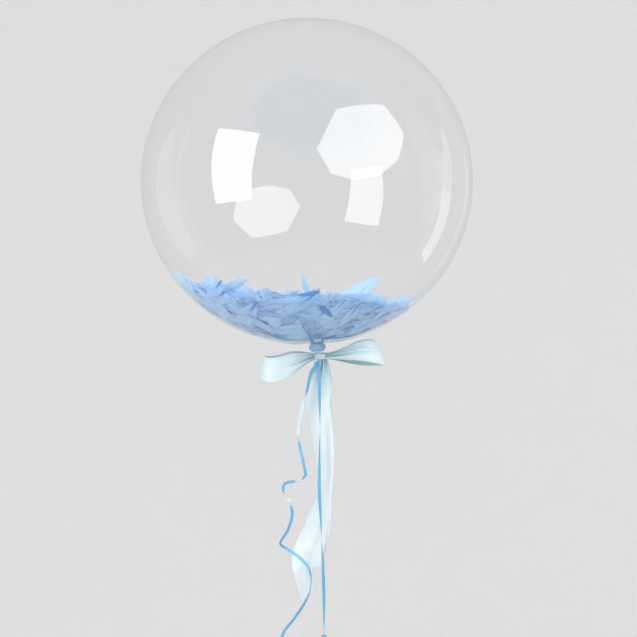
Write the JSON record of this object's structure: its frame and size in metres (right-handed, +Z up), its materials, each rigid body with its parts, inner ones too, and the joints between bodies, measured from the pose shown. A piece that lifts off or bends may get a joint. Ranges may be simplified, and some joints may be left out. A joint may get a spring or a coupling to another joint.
{
  "type": "bubble balloon",
  "caption": "Clear round bubble balloon with a gathered, ribbon-bound neck, a wide satin bow with long tails, and narrow curling ribbons, one of them a tether.",
  "frame": {"origin": "in the eye of the loop tied at the tether's foot, where the balloon is held down", "axes": "+Z up, from the tether's foot to the crown of the ball; +X to the viewer's right, facing the front of the bow; +Y away from the viewer"},
  "size_m": [0.5098, 0.51, 0.9746],
  "materials": {
    "film": "clear, glossy stretched film",
    "curling_ribbon": "glossy blue curling ribbon",
    "satin_ribbon": "pale aqua satin"
  },
  "bodies": {
    "root": {"bubble": "film", "neck_tie": "curling_ribbon", "satin_bow": "satin_ribbon", "tether_ribbon": "curling_ribbon", "tether_loop": "curling_ribbon", "curled_ribbon": "curling_ribbon"}
  },
  "joints": []
}
